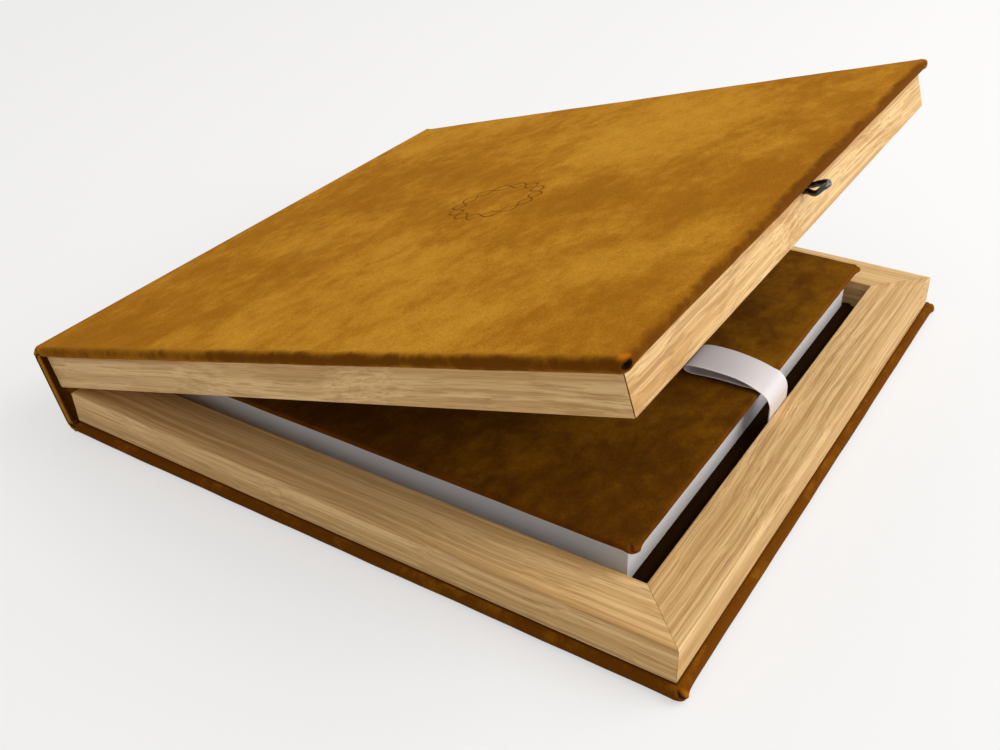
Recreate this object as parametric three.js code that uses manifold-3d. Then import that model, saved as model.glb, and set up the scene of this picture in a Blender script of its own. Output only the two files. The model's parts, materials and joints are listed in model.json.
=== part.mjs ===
// Book-style presentation box with its album, lid partly raised.
// Two mitred oak frames, one glued to a velvet-covered base board and one to a
// velvet-covered lid board, are joined by a spine board on two cloth hinges.
// Millimetres. +X from the spine to the fore edge, +Y from near to far, +Z up.
// The origin lies on the underside of the base board, below the middle of the tray frame.

import * as THREE from 'three';
import { mergeVertices } from 'three/addons/utils/BufferGeometryUtils.js';
import Module from 'manifold-3d';

// Album, its length from the spine to the fore edge
const ALBUM_LENGTH = 304;
const ALBUM_WIDTH = 308;
const ALBUM_COVER_THICKNESS = 3.5;
const ALBUM_COVER_EDGE_RADIUS = 1.2;
const ALBUM_COVER_CORNER_RADIUS = 3;
const ALBUM_PAGES_THICKNESS = 24.3;
const ALBUM_COVER_OVERHANG = 6.5;

// Room around the album in the tray; at the spine the lid frame swings through it
const ROOM_AT_SPINE = 9.5;
const ROOM_AT_FORE = 7.5;
const ROOM_AT_SIDES = 2;

// Oak frames
const RAIL_WIDTH = 29.5;
const TRAY_RAIL_HEIGHT = 19.5;
const LID_RAIL_HEIGHT = 21;
const RAIL_EDGE_RADIUS = 1.5;
const MITRE_GAP = 0.3;

// Velvet-covered boards
const BOARD_THICKNESS = 6;
const BOARD_OVERHANG = 4;
const BOARD_EDGE_RADIUS = 2.4;
const BOARD_CORNER_RADIUS = 5;
const SPINE_THICKNESS = 5;
const SPINE_STANDOFF = 0.5;
const HINGE_GAP = 0.4;

// Fits between pieces
const GLUE_GAP = 0.3;
const CLOSING_GAP = 0.4;

// Linings of the tray and of the lid
const LINING_THICKNESS = 1;
const LINING_CLEARANCE = 0.4;

// Lifting ribbon, laid double over the album's fore edge
const RIBBON_WIDTH = 25;
const RIBBON_THICKNESS = 0.5;
const RIBBON_REACH = 43;
const RIBBON_LOOP_HEIGHT = 5.5;
const RIBBON_BEND = 9;
const RIBBON_PLY_GAP = 0.9;
const RIBBON_FLAT_STRETCH = 12;
const RIBBON_DRIFT = 4;

// Cord loop that lifts the lid
const LOOP_WIDTH = 12.5;
const LOOP_CORD = 3;
const LOOP_PROJECTION = 12.8;
const LOOP_RISE = 1;
const LOOP_SAG = 1.7;
const LOOP_ROOT_SHARE = 0.8;
const LOOP_OFFSET = 0.5;

// How far the lid stands open at rest
const OPEN_ANGLE = THREE.MathUtils.degToRad(16.6);

// Places that follow from the sizes
const OPENING_LENGTH = ALBUM_LENGTH + ROOM_AT_SPINE + ROOM_AT_FORE;
const OPENING_WIDTH = ALBUM_WIDTH + 2 * ROOM_AT_SIDES;
const FRAME_LENGTH = OPENING_LENGTH + 2 * RAIL_WIDTH;
const FRAME_WIDTH = OPENING_WIDTH + 2 * RAIL_WIDTH;
const HALF_LENGTH = FRAME_LENGTH / 2;
const HALF_WIDTH = FRAME_WIDTH / 2;
const HINGE_X = -HALF_LENGTH - SPINE_STANDOFF - SPINE_THICKNESS;
const TRAY_RAIL_TOP = BOARD_THICKNESS + GLUE_GAP + TRAY_RAIL_HEIGHT;
const LID_RAIL_BOTTOM = TRAY_RAIL_TOP + CLOSING_GAP;
const LID_BOARD_BOTTOM = LID_RAIL_BOTTOM + LID_RAIL_HEIGHT + GLUE_GAP;
const CLOSED_HEIGHT = LID_BOARD_BOTTOM + BOARD_THICKNESS;
const TRAY_FLOOR = BOARD_THICKNESS + GLUE_GAP + LINING_THICKNESS;
const ALBUM_FORE_X = OPENING_LENGTH / 2 - ROOM_AT_FORE;
const ALBUM_SPINE_X = ALBUM_FORE_X - ALBUM_LENGTH;
const ALBUM_BOTTOM = TRAY_FLOOR + GLUE_GAP;
const PAGES_BOTTOM = ALBUM_BOTTOM + ALBUM_COVER_THICKNESS + GLUE_GAP;
const FRONT_COVER_BOTTOM = PAGES_BOTTOM + ALBUM_PAGES_THICKNESS + GLUE_GAP;
const ALBUM_TOP = FRONT_COVER_BOTTOM + ALBUM_COVER_THICKNESS;

const wasm = await Module();
wasm.setup();

const velvet = new THREE.MeshStandardMaterial({ color: 0xa8701f, roughness: 0.95, metalness: 0 });
const darkVelvet = new THREE.MeshStandardMaterial({ color: 0x3a2210, roughness: 0.95, metalness: 0 });
const oak = new THREE.MeshStandardMaterial({ color: 0xdcb67c, roughness: 0.5, metalness: 0 });
const albumVelvet = new THREE.MeshStandardMaterial({ color: 0x6e440e, roughness: 0.95, metalness: 0 });
const pagePaper = new THREE.MeshStandardMaterial({ color: 0xe9e8e4, roughness: 0.7, metalness: 0 });
const satin = new THREE.MeshStandardMaterial({ color: 0xdcd6d0, roughness: 0.35, metalness: 0 });
const blackCord = new THREE.MeshStandardMaterial({ color: 0x0c0b0b, roughness: 0.3, metalness: 0 });

// A closed solid from a geometry, with its shared vertices merged.
function toSolid(geometry) {
  const bare = geometry.clone();
  bare.deleteAttribute('normal');
  bare.deleteAttribute('uv');
  const merged = mergeVertices(bare, 1e-4);
  return new wasm.Manifold(new wasm.Mesh({
    numProp: 3,
    vertProperties: new Float32Array(merged.attributes.position.array),
    triVerts: new Uint32Array(merged.index.array),
  }));
}

function toGeometry(solid) {
  const mesh = solid.getMesh();
  const geometry = new THREE.BufferGeometry();
  geometry.setAttribute('position', new THREE.BufferAttribute(new Float32Array(mesh.vertProperties), 3));
  geometry.setIndex(new THREE.BufferAttribute(new Uint32Array(mesh.triVerts), 1));
  return geometry;
}

// A rectangle in plan with round corners, from (x0, y0) to (x1, y1).
function roundedRectangle(x0, y0, x1, y1, radius) {
  const shape = new THREE.Shape();
  shape.moveTo(x0 + radius, y0);
  shape.lineTo(x1 - radius, y0);
  shape.absarc(x1 - radius, y0 + radius, radius, -Math.PI / 2, 0, false);
  shape.lineTo(x1, y1 - radius);
  shape.absarc(x1 - radius, y1 - radius, radius, 0, Math.PI / 2, false);
  shape.lineTo(x0 + radius, y1);
  shape.absarc(x0 + radius, y1 - radius, radius, Math.PI / 2, Math.PI, false);
  shape.lineTo(x0, y0 + radius);
  shape.absarc(x0 + radius, y0 + radius, radius, Math.PI, 1.5 * Math.PI, false);
  return shape;
}

// A slab whose plan corners and all of whose edges are rounded; its underside is at z = 0.
function roundedSlab(x0, y0, x1, y1, thickness, cornerRadius, edgeRadius) {
  const round = Math.min(edgeRadius, 0.45 * thickness);
  const inner = Math.max(cornerRadius - round, 0.2);
  const shape = roundedRectangle(x0 + round, y0 + round, x1 - round, y1 - round, inner);
  const slab = new THREE.ExtrudeGeometry(shape, {
    depth: thickness - 2 * round,
    curveSegments: 5,
    bevelEnabled: true,
    bevelSegments: 4,
    bevelSize: round,
    bevelThickness: round,
  });
  slab.translate(0, 0, round);
  return slab;
}

// The wedge beyond a hinge, cut from a board's end so that its bevel leans at 45 degrees.
// The bevel starts at (x, z) and rises towards +X; a reach past the board clears the whole end.
function hingeWedge(x, z, thickness, width, reach) {
  const wedge = new THREE.Shape();
  wedge.moveTo(x - thickness, z - thickness);
  wedge.lineTo(x + 2 * thickness, z + 2 * thickness);
  wedge.lineTo(x - reach, z + 2 * thickness);
  wedge.lineTo(x - reach, z - thickness);
  const cutter = new THREE.ExtrudeGeometry(wedge, { depth: width, bevelEnabled: false });
  cutter.rotateX(Math.PI / 2);
  cutter.translate(0, width / 2, 0);
  return cutter;
}

// A covered board that lies flat with its underside at z = 0 and its hinge corner at HINGE_X.
function coveredBoard() {
  const half = HALF_WIDTH + BOARD_OVERHANG;
  const slab = roundedSlab(
    HINGE_X - BOARD_THICKNESS, -half, HALF_LENGTH + BOARD_OVERHANG, half,
    BOARD_THICKNESS, BOARD_CORNER_RADIUS, BOARD_EDGE_RADIUS,
  );
  const bevelStart = HINGE_X + HINGE_GAP / Math.SQRT2;
  const cutter = hingeWedge(bevelStart, 0, BOARD_THICKNESS, 2 * half + 20, 3 * BOARD_THICKNESS);
  return toGeometry(toSolid(slab).subtract(toSolid(cutter)));
}

// The spine board standing upright, outer face at HINGE_X, both ends bevelled at 45 degrees.
function spineBoard() {
  const half = HALF_WIDTH + BOARD_OVERHANG;
  const slab = roundedSlab(
    -SPINE_THICKNESS, -half, CLOSED_HEIGHT + SPINE_THICKNESS, half,
    SPINE_THICKNESS, BOARD_CORNER_RADIUS, BOARD_EDGE_RADIUS,
  );
  const start = HINGE_GAP / Math.SQRT2;
  const width = 2 * half + 20;
  const lower = hingeWedge(start, 0, SPINE_THICKNESS, width, 3 * SPINE_THICKNESS);
  const upper = hingeWedge(start, 0, SPINE_THICKNESS, width, 3 * SPINE_THICKNESS);
  upper.rotateZ(Math.PI);
  upper.translate(CLOSED_HEIGHT, 0, 0);
  const board = toGeometry(toSolid(slab).subtract(toSolid(lower)).subtract(toSolid(upper)));
  board.rotateY(-Math.PI / 2);
  board.scale(-1, 1, 1);
  flipFaces(board);
  return board;
}

// Turns a mirrored geometry's faces outwards again.
function flipFaces(geometry) {
  const index = geometry.index.array;
  for (let i = 0; i < index.length; i += 3) {
    [index[i], index[i + 1]] = [index[i + 1], index[i]];
  }
}

// A frame rail of rounded section with both ends mitred at 45 degrees. Its outer face is at
// y = 0 and its inner face at y = RAIL_WIDTH; it runs along X about x = 0 from z = 0 to height.
function mitredRail(length, height, roundTop) {
  const radius = Math.min(RAIL_EDGE_RADIUS, 0.4 * height);
  const section = new THREE.Shape();
  const z0 = roundTop ? 0 : height;
  const step = roundTop ? 1 : -1;
  section.moveTo(0, z0);
  section.lineTo(RAIL_WIDTH, z0);
  section.lineTo(RAIL_WIDTH, height - z0 - step * radius);
  section.absarc(
    RAIL_WIDTH - radius, height - z0 - step * radius, radius,
    0, step * Math.PI / 2, !roundTop,
  );
  section.lineTo(radius, height - z0);
  section.absarc(
    radius, height - z0 - step * radius, radius,
    step * Math.PI / 2, step * Math.PI, !roundTop,
  );
  const rail = new THREE.ExtrudeGeometry(section, { depth: 1, curveSegments: 5, bevelEnabled: false });
  const points = rail.attributes.position;
  const halfSeam = MITRE_GAP / Math.SQRT2;
  for (let i = 0; i < points.count; i += 1) {
    const across = points.getX(i);
    const up = points.getY(i);
    const end = points.getZ(i) > 0.5 ? 1 : -1;
    points.setXYZ(i, end * (length / 2 - across - halfSeam), across, up);
  }
  return rail;
}

// The four rails of one oak frame with their undersides at the given height.
function addOakFrame(group, prefix, bottom, height, roundTop) {
  const sides = [
    ['near', FRAME_LENGTH, 0, 0, -HALF_WIDTH],
    ['fore', FRAME_WIDTH, Math.PI / 2, HALF_LENGTH, 0],
    ['far', FRAME_LENGTH, Math.PI, 0, HALF_WIDTH],
    ['spine', FRAME_WIDTH, -Math.PI / 2, -HALF_LENGTH, 0],
  ];
  for (const [side, length, turn, x, y] of sides) {
    const rail = addMesh(group, `${prefix}_rail_${side}`, mitredRail(length, height, roundTop), oak);
    rail.position.set(x, y, bottom);
    rail.rotation.z = turn;
  }
}

// The sheet that lines the floor of a frame's opening.
function liningSheet() {
  const halfX = OPENING_LENGTH / 2 - LINING_CLEARANCE;
  const halfY = OPENING_WIDTH / 2 - LINING_CLEARANCE;
  const outline = roundedRectangle(-halfX, -halfY, halfX, halfY, LINING_THICKNESS);
  return new THREE.ExtrudeGeometry(outline, { depth: LINING_THICKNESS, curveSegments: 3, bevelEnabled: false });
}

// One of the album's cover boards, from the back of its spine board to the fore edge.
function albumCover() {
  const x0 = ALBUM_SPINE_X + ALBUM_COVER_THICKNESS + GLUE_GAP;
  return roundedSlab(
    x0, -ALBUM_WIDTH / 2, ALBUM_FORE_X, ALBUM_WIDTH / 2,
    ALBUM_COVER_THICKNESS, ALBUM_COVER_CORNER_RADIUS, ALBUM_COVER_EDGE_RADIUS,
  );
}

function albumSpine() {
  return roundedSlab(
    ALBUM_SPINE_X, -ALBUM_WIDTH / 2, ALBUM_SPINE_X + ALBUM_COVER_THICKNESS, ALBUM_WIDTH / 2,
    ALBUM_TOP - ALBUM_BOTTOM, ALBUM_COVER_EDGE_RADIUS, ALBUM_COVER_EDGE_RADIUS,
  );
}

function albumPages() {
  const x0 = ALBUM_SPINE_X + ALBUM_COVER_THICKNESS + GLUE_GAP;
  const x1 = ALBUM_FORE_X - ALBUM_COVER_OVERHANG;
  const width = ALBUM_WIDTH - 2 * ALBUM_COVER_OVERHANG;
  const pages = new THREE.BoxGeometry(x1 - x0, width, ALBUM_PAGES_THICKNESS);
  pages.translate((x0 + x1) / 2, 0, ALBUM_PAGES_THICKNESS / 2);
  return pages;
}

// The two long sides of a strip of given thickness that follows a line of points.
function stripOutline(points, thickness) {
  const left = [];
  const right = [];
  for (let i = 0; i < points.length; i += 1) {
    const before = points[Math.max(i - 1, 0)];
    const after = points[Math.min(i + 1, points.length - 1)];
    const along = after.clone().sub(before).normalize();
    const normal = new THREE.Vector2(-along.y, along.x).multiplyScalar(thickness / 2);
    left.push(points[i].clone().add(normal));
    right.push(points[i].clone().sub(normal));
  }
  return new THREE.Shape([...left, ...right.reverse()]);
}

// The ribbon rises from the tray floor beside the fore rail in two plies. They bend over the
// album's fore edge together, and part on the cover: the under ply sinks onto it, the upper
// ply runs level, and a round fold joins them. The fold drifts a little to the near side.
function liftingRibbon() {
  const outerX = OPENING_LENGTH / 2 - GLUE_GAP - RIBBON_THICKNESS / 2;
  const innerX = outerX - RIBBON_PLY_GAP;
  const bottom = TRAY_FLOOR + GLUE_GAP;
  const lower = ALBUM_TOP + GLUE_GAP + RIBBON_THICKNESS / 2;
  const upper = lower + RIBBON_LOOP_HEIGHT;
  const fold = RIBBON_LOOP_HEIGHT / 2;
  const foldX = ALBUM_FORE_X - RIBBON_REACH + fold;
  const bendX = outerX - RIBBON_BEND;
  const bendZ = upper - RIBBON_BEND;
  const innerBend = RIBBON_BEND - RIBBON_PLY_GAP;
  const parting = new THREE.Vector2(bendX, bendZ + innerBend);
  const landing = new THREE.Vector2(foldX + RIBBON_FLAT_STRETCH, lower);
  const pull = (parting.x - landing.x) / 3;
  const path = new THREE.Path();
  path.moveTo(innerX, bottom);
  path.lineTo(innerX, bendZ);
  path.absarc(bendX, bendZ, innerBend, 0, Math.PI / 2, false);
  path.bezierCurveTo(parting.x - pull, parting.y, landing.x + pull, landing.y, landing.x, landing.y);
  path.lineTo(foldX, lower);
  path.absarc(foldX, lower + fold, fold, -Math.PI / 2, -1.5 * Math.PI, true);
  path.lineTo(bendX, upper);
  path.absarc(bendX, bendZ, RIBBON_BEND, Math.PI / 2, 0, true);
  path.lineTo(outerX, bottom);
  const outline = stripOutline(path.getPoints(8), RIBBON_THICKNESS);
  const ribbon = new THREE.ExtrudeGeometry(outline, { depth: RIBBON_WIDTH, bevelEnabled: false });
  ribbon.rotateX(Math.PI / 2);
  ribbon.translate(0, RIBBON_WIDTH / 2, 0);
  const points = ribbon.attributes.position;
  for (let i = 0; i < points.count; i += 1) {
    const inward = Math.max(ALBUM_FORE_X - points.getX(i), 0) / RIBBON_REACH;
    points.setY(i, points.getY(i) - RIBBON_DRIFT * inward);
  }
  return ribbon;
}

// A cord bent into a loop whose two ends enter the fore rail under the lid board. It widens
// from its root, its tip is bent up a little and its near cord sags.
function pullLoop() {
  const bend = (LOOP_WIDTH - LOOP_CORD) / 2;
  const start = HALF_LENGTH + GLUE_GAP;
  const centre = HALF_LENGTH + LOOP_PROJECTION - LOOP_CORD / 2 - bend;
  const route = [];
  const height = (x, y) => {
    const share = THREE.MathUtils.smoothstep(x, start + 1.5, centre + bend);
    return LOOP_RISE * share - LOOP_SAG * 4 * share * (1 - share) * Math.max(0, -y) / bend;
  };
  const spread = (i) => bend * THREE.MathUtils.lerp(LOOP_ROOT_SHARE, 1, THREE.MathUtils.smoothstep(i, 0, 4));
  for (let i = 0; i < 4; i += 1) {
    const x = THREE.MathUtils.lerp(start, centre, i / 4);
    route.push(new THREE.Vector3(x, -spread(i), height(x, -spread(i))));
  }
  for (let i = 0; i <= 12; i += 1) {
    const angle = -Math.PI / 2 + Math.PI * i / 12;
    const x = centre + bend * Math.cos(angle);
    const y = bend * Math.sin(angle);
    route.push(new THREE.Vector3(x, y, height(x, y)));
  }
  for (let i = 3; i >= 0; i -= 1) {
    const x = THREE.MathUtils.lerp(start, centre, i / 4);
    route.push(new THREE.Vector3(x, spread(i), height(x, spread(i))));
  }
  const section = new THREE.Shape();
  section.absarc(0, 0, LOOP_CORD / 2, 0, 2 * Math.PI, false);
  const loop = new THREE.ExtrudeGeometry(section, {
    extrudePath: new THREE.CatmullRomCurve3(route),
    steps: 32,
    curveSegments: 5,
  });
  loop.translate(0, -LOOP_OFFSET, LID_BOARD_BOTTOM - GLUE_GAP - LOOP_CORD / 2);
  return loop;
}

function addMesh(group, name, geometry, material) {
  const mesh = new THREE.Mesh(geometry, material);
  mesh.name = name;
  group.add(mesh);
  return mesh;
}

// Everything that rests on the table: base, tray frame, lining, album and ribbon.
function makeTray() {
  const tray = new THREE.Group();
  addMesh(tray, 'base_board', coveredBoard(), velvet);
  addOakFrame(tray, 'tray', BOARD_THICKNESS + GLUE_GAP, TRAY_RAIL_HEIGHT, true);
  addMesh(tray, 'tray_lining', liningSheet(), darkVelvet).position.z = BOARD_THICKNESS + GLUE_GAP;
  addMesh(tray, 'album_back_cover', albumCover(), albumVelvet).position.z = ALBUM_BOTTOM;
  addMesh(tray, 'album_pages', albumPages(), pagePaper).position.z = PAGES_BOTTOM;
  addMesh(tray, 'album_front_cover', albumCover(), albumVelvet).position.z = FRONT_COVER_BOTTOM;
  addMesh(tray, 'album_spine', albumSpine(), albumVelvet).position.z = ALBUM_BOTTOM;
  addMesh(tray, 'lifting_ribbon', liftingRibbon(), satin);
  return tray;
}

// The lid in its closed place: board, frame, lining and loop.
function makeLid() {
  const lid = new THREE.Group();
  const board = coveredBoard();
  board.scale(1, 1, -1);
  flipFaces(board);
  addMesh(lid, 'lid_board', board, velvet).position.z = CLOSED_HEIGHT;
  addOakFrame(lid, 'lid', LID_RAIL_BOTTOM, LID_RAIL_HEIGHT, false);
  const liningBottom = LID_BOARD_BOTTOM - GLUE_GAP - LINING_THICKNESS;
  addMesh(lid, 'lid_lining', liningSheet(), darkVelvet).position.z = liningBottom;
  addMesh(lid, 'pull_loop', pullLoop(), blackCord);
  return lid;
}

// The spine turns about the base's lower hinge corner, and the lid about the spine's upper
// corner. At rest the lid stays square to the spine, so both lean back by the same angle.
function makeBox() {
  const box = new THREE.Group();
  box.add(makeTray());
  const leaning = new THREE.Group();
  leaning.position.x = HINGE_X;
  leaning.rotation.y = -OPEN_ANGLE;
  addMesh(leaning, 'spine_board', spineBoard(), velvet);
  const lid = makeLid();
  lid.position.x = -HINGE_X;
  leaning.add(lid);
  box.add(leaning);
  return box;
}

export default makeBox();
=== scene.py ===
"""Boxed album: two mitred oak frames in a velvet-covered book-style case, an album in the tray,
a satin lifting ribbon and a cord loop on the lid."""

import json
import math

import bmesh
import bpy
import numpy as np
from mathutils import Matrix, Vector


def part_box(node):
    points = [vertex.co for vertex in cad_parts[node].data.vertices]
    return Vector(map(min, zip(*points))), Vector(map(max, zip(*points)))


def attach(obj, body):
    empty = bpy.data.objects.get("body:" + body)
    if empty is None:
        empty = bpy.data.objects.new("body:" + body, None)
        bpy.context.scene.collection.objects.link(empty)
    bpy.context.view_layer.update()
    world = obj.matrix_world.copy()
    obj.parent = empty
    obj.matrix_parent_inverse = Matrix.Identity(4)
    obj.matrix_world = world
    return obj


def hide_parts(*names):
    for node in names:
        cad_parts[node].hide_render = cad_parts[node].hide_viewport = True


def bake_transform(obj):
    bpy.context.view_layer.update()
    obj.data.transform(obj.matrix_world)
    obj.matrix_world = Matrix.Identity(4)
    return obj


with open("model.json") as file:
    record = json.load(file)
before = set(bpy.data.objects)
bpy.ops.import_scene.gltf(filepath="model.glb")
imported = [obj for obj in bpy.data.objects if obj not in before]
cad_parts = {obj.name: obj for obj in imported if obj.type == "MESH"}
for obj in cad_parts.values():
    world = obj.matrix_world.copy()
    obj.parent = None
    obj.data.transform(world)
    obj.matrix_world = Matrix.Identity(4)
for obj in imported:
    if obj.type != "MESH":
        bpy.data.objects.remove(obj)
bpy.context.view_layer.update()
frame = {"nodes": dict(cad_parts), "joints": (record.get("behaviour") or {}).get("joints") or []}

MM = 0.001

# Photograph: the camera's place, its direction, its turn about that direction and its lens
CAMERA_PLACE = (0.31707, -0.49492, 0.38113)
CAMERA_FORWARD = (-0.470261, 0.690964, -0.54902)
CAMERA_UP = (-0.27404, 0.47702, 0.835077)
CAMERA_LENS = 40.82
CAMERA_SENSOR = 36.0
CAMERA_NEAREST = 0.01

# Points of one mesh that lie closer than this are merged
MERGE = 1e-6
CLOTH_MERGE = 2e-6
FINE_MERGE = 1e-7

# Steps between a board's points, and how far in from its edges they are close
COARSE_STEP = 5.0 * MM
SECTION_STEP = 0.55 * MM
SECTION_DENSE = 16.0 * MM
LENGTH_STEP = 0.5 * MM
LENGTH_DENSE = 14.0 * MM
LONG_SIDE = 20.0 * MM
CORNER_STEP_ANGLE = 13.0

# Velvet wrapping of the case boards
CASE_EDGE = 2.6 * MM
CASE_CORNER = 4.0 * MM
CASE_HINGE_GAP = 0.25 * MM
CASE_HINGE_ROUND = 4.4 * MM
SPINE_PROUD = 1.1 * MM
FORE_PROUD = 0.6 * MM
SIDE_PROUD = 0.5 * MM
PROUD_BAND = 3.5 * MM
LID_HANG = 0.9 * MM
HANG_INSIDE = 1.6 * MM
HANG_BAND = 1.2 * MM
HINGE_FLAT = 8.0 * MM
EDGE_WAVE = 0.22 * MM
EDGE_WAVE_BAND = 2.4 * MM
PAD_WAVE = 0.10 * MM
EDGE_BAND = (3.2 * MM, 4.4 * MM)
# Over the base the edge tint reaches across its whole overhang: edge tint, and painted contact shadow under
# the rails
BASE_EDGE_AND_SHADE_BAND = (9.0 * MM, 9.0 * MM)

# Corner folds: side, bearing from the fore direction in degrees, slant, and whether pinched
BASE_CREASES = ((-1.0, 31.0, 0.34, False), (1.0, 48.0, 0.25, False))
LID_CREASES = ((-1.0, 28.0, 0.10, True), (1.0, 56.0, 0.25, False))
ALBUM_CREASES = ((-1.0, 48.0, 0.1, False), (1.0, 42.0, 0.1, False))

# Hollows of the corner folds: depth in millimetres and the strength of the painted shade in them
GROOVE_DEPTH = 1.2
GROOVE_PAINTED_SHADE = 1.9
PIT_DEPTH = 2.6
PIT_PAINTED_SHADE = 2.2

# Painted contact shadow on the velvet beside the rails and at the ends of the spine's inner face
CONTACT_SHADE_PAINTED = 1.5
CONTACT_SHADE_BAND = 1.5 * MM
SPINE_END_SHADE = 7.0 * MM

# Velvet wrapping of the album's covers
ALBUM_EDGE = 1.7 * MM
ALBUM_CORNER = 5.0 * MM
ALBUM_SPINE_EDGE = 1.6 * MM
ALBUM_GROOVE_FROM_SPINE = 7.0 * MM
ALBUM_GROOVE_WIDTH = 5.0 * MM
ALBUM_GROOVE_DEPTH = 1.1 * MM

# Hinge folds of the case cloth
HINGE_CLOTH_REACH = 9.0 * MM
HINGE_CLOTH_THICKNESS = 1.0 * MM
HINGE_CLOTH_PROUD = 0.12 * MM

# Velvets: light, middle and dark tone, tint at edges, and tint at folds, partly a painted highlight
CASE_VELVET = ((208, 148, 44), (188, 126, 28), (164, 104, 16), (98, 52, 2), (206, 118, 16))
ALBUM_VELVET = ((136, 90, 8), (112, 68, 4), (82, 45, 1), (106, 54, 3), (150, 82, 8))
# The back cover's velvet is a much darker copy of the album's: painted shade of the deep gap beside the tray
SHADED_BACK_COVER_VELVET = ((44, 24, 3), (36, 18, 2), (28, 13, 1), (30, 14, 1), (40, 20, 2))
# Near-black painted shade for fold hollows and contact shadows
PAINTED_SHADE_TINT = (20, 8, 1)
SHEEN_TINT = (226, 140, 20)
ALBUM_SHIFT = 3.7

# Oak rails
RAIL_ROUND_OUTER = 0.8 * MM
RAIL_ROUND_ARRIS = 0.35 * MM
RAIL_BESIDE_ARRIS = 0.35 * MM
RAIL_SHARP_ANGLE = 35.0
TRAY_SEAM = 0.08 * MM
LID_SEAM = 0.22 * MM

# Card pages
PAGE_PITCH = 0.81 * MM
PAGE_GROOVE = 0.07 * MM
PAGE_SHARP_ANGLE = 40.0

# Pull loop
LOOP_CORD = 3.0 * MM
LOOP_ROOT = 1.5 * MM
LOOP_ROOT_SHARE = 0.8
LOOP_RISE = 1.0 * MM
LOOP_SAG = 1.7 * MM
LOOP_RIDGE = 0.03
LOOP_RIDGE_PITCH = 0.55 * MM

# Satin ribbon
RIBBON_THICKNESS = 0.36 * MM
RIBBON_SELVEDGE = 0.85 * MM
RIBBON_SELVEDGE_THICKNESS = 0.6 * MM
RIBBON_WIDTH = 25.0 * MM
RIBBON_DRIFT = 0.6 * MM
RIBBON_TWIST = 1.5 * MM
RIBBON_INNER_ASIDE = 1.1 * MM
RIBBON_PLY_GAP = 0.5 * MM
RIBBON_ABOVE_COVER = 0.12 * MM
RIBBON_BEND = 10.0 * MM
RIBBON_BEND_ANGLE = 68.0
RIBBON_BEND_BELOW_COVER = 8.2 * MM
RIBBON_CREST_FROM_FOLD = 14.0 * MM

# Lid ornament, pressed into the velvet: two interlaced wavy rings
ORNAMENT_CENTRE = (8.0 * MM, -2.0 * MM, 0.0)
ORNAMENT_RADIUS = 24.0 * MM
ORNAMENT_WAVE = 4.0 * MM
ORNAMENT_LOBES = 7.0
ORNAMENT_LINE = 0.36 * MM
ORNAMENT_ABOVE = 50.0 * MM

# Light
WORLD_LIGHT_LOW = 0.26
WORLD_LIGHT_HIGH = 0.74
WORLD_SEEN = 0.93
FLOOR_HALF = 15.0
FLOOR_DROP = 0.4 * MM
FLOOR_COLOUR = (0.9, 0.885, 0.865, 1.0)
FLOOR_WHITE = (251, 251, 251)
FLOOR_OWN_WHITE = 0.58
KEY_PLACE = (1.35, 0.85, 1.25)
KEY_TARGET = (0.0, 0.0, 0.05)
KEY_SIZE = (2.0, 2.0)
KEY_POWER = 34.0


# Colours as they are read off a screen

def colour(red, green, blue):
    """Linear colour with alpha from 0..255 screen values."""
    def linear(value):
        value /= 255.0
        return value / 12.92 if value <= 0.04045 else ((value + 0.055) / 1.055) ** 2.4
    return (linear(red), linear(green), linear(blue), 1.0)


# Points and lines

def xyz(x, y, z):
    """Points from their coordinates, which are stretched to one shape."""
    return np.stack(np.broadcast_arrays(x, y, z), axis=-1)


def hill(away, width):
    """A round hill, exp(-(away / width)^2)."""
    return np.exp(-(away / width) ** 2)


def eased(share):
    """The smooth step 3 s^2 - 2 s^3 of a share s held between 0 and 1."""
    share = np.clip(share, 0, 1)
    return share ** 2 * (3 - 2 * share)


def arc(centre, radius, start, stop, count):
    """Points on a circle's arc between two bearings in degrees."""
    angles = np.radians(np.linspace(start, stop, count))
    return np.stack([centre[0] + radius * np.cos(angles), centre[1] + radius * np.sin(angles)], 1)


def distances(line):
    """How far along a line of points each of them lies."""
    return np.concatenate([[0.0], np.cumsum(np.linalg.norm(np.diff(line, axis=0), axis=1))])


def left_of(line):
    """Unit vectors to the left of a flat line's direction, one at each point."""
    tangent = np.gradient(line, axis=0)
    tangent /= np.linalg.norm(tangent, axis=1, keepdims=True)
    return np.stack([-tangent[:, 1], tangent[:, 0]], 1)


def there_and_back(there, back):
    """One closed ring from two rows of points that share their ends."""
    return np.concatenate([there, back[-2:0:-1]])


def graded(start, stop, coarse, fine, dense_start=0.0, dense_stop=0.0):
    """Places from start to stop, a fine step apart near the ends asked for, coarse between."""
    inner_start, inner_stop = start + dense_start, stop - dense_stop
    spans = ((start, inner_start, fine), (inner_start, inner_stop, coarse), (inner_stop, stop, fine))
    return np.concatenate([
        np.linspace(low, high, max(2, round((high - low) / step)), endpoint=False)
        for low, high, step in spans if high > low
    ] + [[stop]])


def smooth_wave(a, b, phase):
    """A gentle irregular wave of two lengths, a sum of four sines with fixed phases, in -1..1."""
    return (
        np.sin(a * 71.0 + phase) + 0.8 * np.sin(b * 83.0 + 1.7 * phase)
        + 0.6 * np.sin(a * 193.0 - b * 57.0 + 2.3 * phase) + 0.5 * np.sin(b * 211.0 + a * 31.0 + 3.1 * phase)
    ) / 2.9


# The frame's own measures

JOINTS = {joint["name"]: joint for joint in frame["joints"]}
LOWER_PIVOT = np.array(JOINTS["spine_hinge"]["pos_m"], float)
UPPER_PIVOT = np.array(JOINTS["lid_hinge"]["pos_m"], float)
OPEN_ANGLE = -math.radians(JOINTS["spine_hinge"]["range_deg"][0])
SPINE_LENGTH = float(np.linalg.norm(UPPER_PIVOT - LOWER_PIVOT))


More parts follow.
